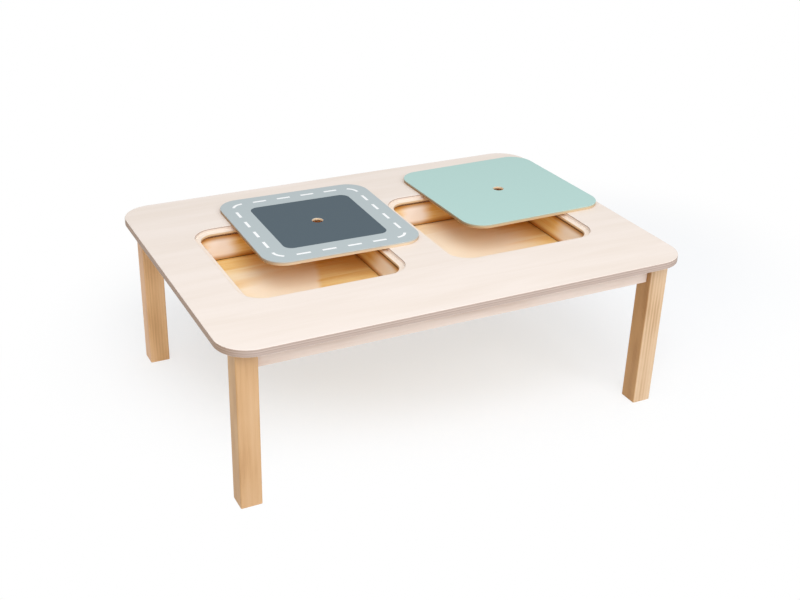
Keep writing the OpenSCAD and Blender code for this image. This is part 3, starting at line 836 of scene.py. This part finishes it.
# Road print: a slate square and a ring of white dashes, screen-printed on the grey lid.
# The dashes are a common road marking, and follow a rounded square half-way to the lid's edge.
ink_film = 0.0001
slate_side = 0.230
slate_corner = 0.019
road_side = 0.291
road_corner = 0.026
dash_width = 0.006
dash_count = 20
# Of each dash's steps along the road, the printed ones come first and the rest are the gap
steps_per_dash = 24
printed_steps = 13


def ink(name, colour):
    """Screen-printed ink: an even, dull film with a faint grain of the screen, drawn 1.5 mm coarse."""
    material, tree = new_material(name)
    place = add(tree, "ShaderNodeTexCoord")
    mottle = add(tree, "ShaderNodeTexNoise", {"Scale": 1000 / 1.5, "Detail": 2.0},
                 {"Vector": place.outputs["Object"]})
    full = linear(colour)
    thin = tuple(0.94 * part for part in full[:3]) + (1.0,)
    tint = add(tree, "ShaderNodeValToRGB", {"stops": [(0.3, full), (0.8, thin)]},
               {"Fac": mottle.outputs["Fac"]})
    surface(tree, tint.outputs["Color"], mottle.outputs["Fac"], 0.55, 0.02)
    return material


slate_square = run_tree("road_lid_slate_square", panel_tree, bpy.data.meshes.new("slate_square"), {
    "Side": slate_side, "Thickness": ink_film, "Corner Radius": slate_corner,
    "Bore Radius": (finger_hole + 0.001) / 2, "Material": ink("slate_screen_ink", "#4e5e68"),
    **road_place})
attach(slate_square, "left_lid")

dash_tree, given = new_tree("road_dashes", [
    "Road Side", "Corner Radius", "Dash Width", "Film", "X", "Y", "Z", "Turn"])
road_square = add(dash_tree, "GeometryNodeCurvePrimitiveQuadrilateral", {},
                  {"Width": given["Road Side"], "Height": given["Road Side"]})
road_line = add(dash_tree, "GeometryNodeFilletCurve", {"mode": "POLY", "Count": 16},
                {"Curve": road_square.outputs["Curve"], "Radius": given["Corner Radius"]})
even_line = add(dash_tree, "GeometryNodeResampleCurve", {"Count": dash_count * steps_per_dash},
                {"Curve": road_line.outputs["Curve"]})
line_edges = add(dash_tree, "GeometryNodeCurveToMesh", {}, {"Curve": even_line.outputs["Curve"]})
edge_number = add(dash_tree, "GeometryNodeInputIndex")
step_in_dash = add(dash_tree, "ShaderNodeMath", {"operation": "MODULO", 1: float(steps_per_dash)},
                   {0: edge_number.outputs["Index"]})
is_gap = add(dash_tree, "FunctionNodeCompare", {"operation": "GREATER_EQUAL", 1: float(printed_steps)},
             {0: step_in_dash.outputs["Value"]})
dash_edges = add(dash_tree, "GeometryNodeDeleteGeometry", {"domain": "EDGE"},
                 {"Geometry": line_edges.outputs["Mesh"], "Selection": is_gap.outputs["Result"]})
dash_lines = add(dash_tree, "GeometryNodeMeshToCurve", {}, {"Mesh": dash_edges.outputs["Geometry"]})
level_lines = add(dash_tree, "GeometryNodeSetCurveNormal", {"mode": "Z_UP"},
                  {"Curve": dash_lines.outputs["Curve"]})
dash_section = add(dash_tree, "GeometryNodeCurvePrimitiveQuadrilateral", {},
                   {"Width": given["Dash Width"], "Height": given["Film"]})
dash_bodies = add(dash_tree, "GeometryNodeCurveToMesh", {"Fill Caps": True},
                  {"Curve": level_lines.outputs["Curve"], "Profile Curve": dash_section.outputs["Curve"]})
film_middle = add(dash_tree, "ShaderNodeMath", {"operation": "MULTIPLY_ADD", 1: 0.5},
                  {0: given["Film"], 2: given["Z"]})
end_tree(dash_tree, given,
         laid(dash_tree, given, film_middle.outputs["Value"], dash_bodies.outputs["Mesh"]))
dashes = run_tree("road_lid_white_dashes", dash_tree, bpy.data.meshes.new("white_dashes"), {
    "Road Side": road_side, "Corner Radius": road_corner, "Dash Width": dash_width, "Film": ink_film,
    "Material": ink("white_screen_ink", "#fafcfd"), **road_place})
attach(dashes, "left_lid")


# Floor, sky and lamps: white paper under plain soft light, with one softbox high on the front left.
# To the camera the floor fades to plain white round an oval where the table's shadow falls.
floor_half = 15.0
floor_corners = [(-floor_half, -floor_half, 0.0), (floor_half, -floor_half, 0.0),
                 (floor_half, floor_half, 0.0), (-floor_half, floor_half, 0.0)]
floor_mesh = bpy.data.meshes.new("studio_floor")
floor_mesh.from_pydata(floor_corners, [], [(0, 1, 2, 3)])
floor = bpy.data.objects.new("studio_floor", floor_mesh)
bpy.context.collection.objects.link(floor)
# Matt paper: no shine, and a shade just off white that takes the soft shadow
floor_material, tree = new_material("matt_white_paper")
paper = add(tree, "ShaderNodeBsdfDiffuse", {"Color": linear("#f1f4f8")})
white = add(tree, "ShaderNodeEmission", {"Color": (1.0, 1.0, 1.0, 1.0), "Strength": 1.0})
# The camera and mirrored views see some white, and rays that only light the table see paper
seen = add(tree, "ShaderNodeLightPath")
mirrored = add(tree, "ShaderNodeMath", {"operation": "MAXIMUM"},
               {0: seen.outputs["Is Glossy Ray"], 1: seen.outputs["Is Transmission Ray"]})
straight = add(tree, "ShaderNodeMath", {"operation": "MAXIMUM"},
               {0: seen.outputs["Is Camera Ray"], 1: mirrored.outputs["Value"]})
# Over an oval 2.4 m long and 1.68 m wide, about a point to the table's back right, the view goes
# from half paper and half white in the middle to plain white near the rim
place = add(tree, "ShaderNodeTexCoord")
oval = add(tree, "ShaderNodeMapping",
           {"vector_type": "TEXTURE", "Location": (0.36, 0.32, 0.0), "Scale": (1.2, 0.84, 1.0)},
           {"Vector": place.outputs["Object"]})
distance = add(tree, "ShaderNodeVectorMath", {"operation": "LENGTH"}, {0: oval.outputs["Vector"]})
fade = add(tree, "ShaderNodeMapRange",
           {"interpolation_type": "SMOOTHSTEP", "From Min": 0.5, "From Max": 0.95,
            "To Min": 0.5, "To Max": 1.0}, {"Value": distance.outputs["Value"]})
lift = add(tree, "ShaderNodeMath", {"operation": "MULTIPLY"},
           {0: straight.outputs["Value"], 1: fade.outputs["Result"]})
mixed = add(tree, "ShaderNodeMixShader", {},
            {0: lift.outputs["Value"], 1: paper.outputs["BSDF"], 2: white.outputs["Emission"]})
add(tree, "ShaderNodeOutputMaterial", {}, {"Surface": mixed.outputs["Shader"]})
floor_mesh.materials.append(floor_material)

# White to the camera, and brighter above the horizon than below for the light it gives
world = bpy.data.worlds.new("studio_sky")
bpy.context.scene.world = world
world.use_nodes = True
tree = world.node_tree
tree.nodes.clear()
seen = add(tree, "ShaderNodeLightPath")
direction = add(tree, "ShaderNodeTexCoord")
rise = add(tree, "ShaderNodeSeparateXYZ", {}, {"Vector": direction.outputs["Generated"]})
soft = add(tree, "ShaderNodeMapRange", {"To Min": 0.25, "To Max": 0.9}, {"Value": rise.outputs["Z"]})
strength = add(tree, "ShaderNodeMath", {"operation": "MAXIMUM"},
               {0: seen.outputs["Is Camera Ray"], 1: soft.outputs["Result"]})
sky = add(tree, "ShaderNodeBackground", {"Color": (1.0, 1.0, 1.0, 1.0)},
          {"Strength": strength.outputs["Value"]})
add(tree, "ShaderNodeOutputWorld", {}, {"Surface": sky.outputs["Background"]})


def lamp(name, place, aim, size, power):
    """A square softbox at place, turned to face aim."""
    light = bpy.data.lights.new(name, "AREA")
    light.shape = "SQUARE"
    light.size = size
    light.energy = power
    holder = bpy.data.objects.new(name, light)
    bpy.context.collection.objects.link(holder)
    holder.location = place
    holder.rotation_euler = (Vector(aim) - Vector(place)).to_track_quat("-Z", "Y").to_euler()


lamp("high_front_left_softbox", (-0.9, -2.7, 3.5), (-0.1, 0.0, 0.3), 2.6, 90.0)
lamp("low_front_right_softbox", (1.1, -2.6, 1.9), (0.2, 0.0, 0.2), 1.0, 16.0)

bpy.context.scene.view_settings.view_transform = "Standard"
# More bounces than usual, so that light reaches into the trays and under the lids that lie over them
bpy.context.scene.cycles.max_bounces = 16
bpy.context.scene.cycles.diffuse_bounces = 12
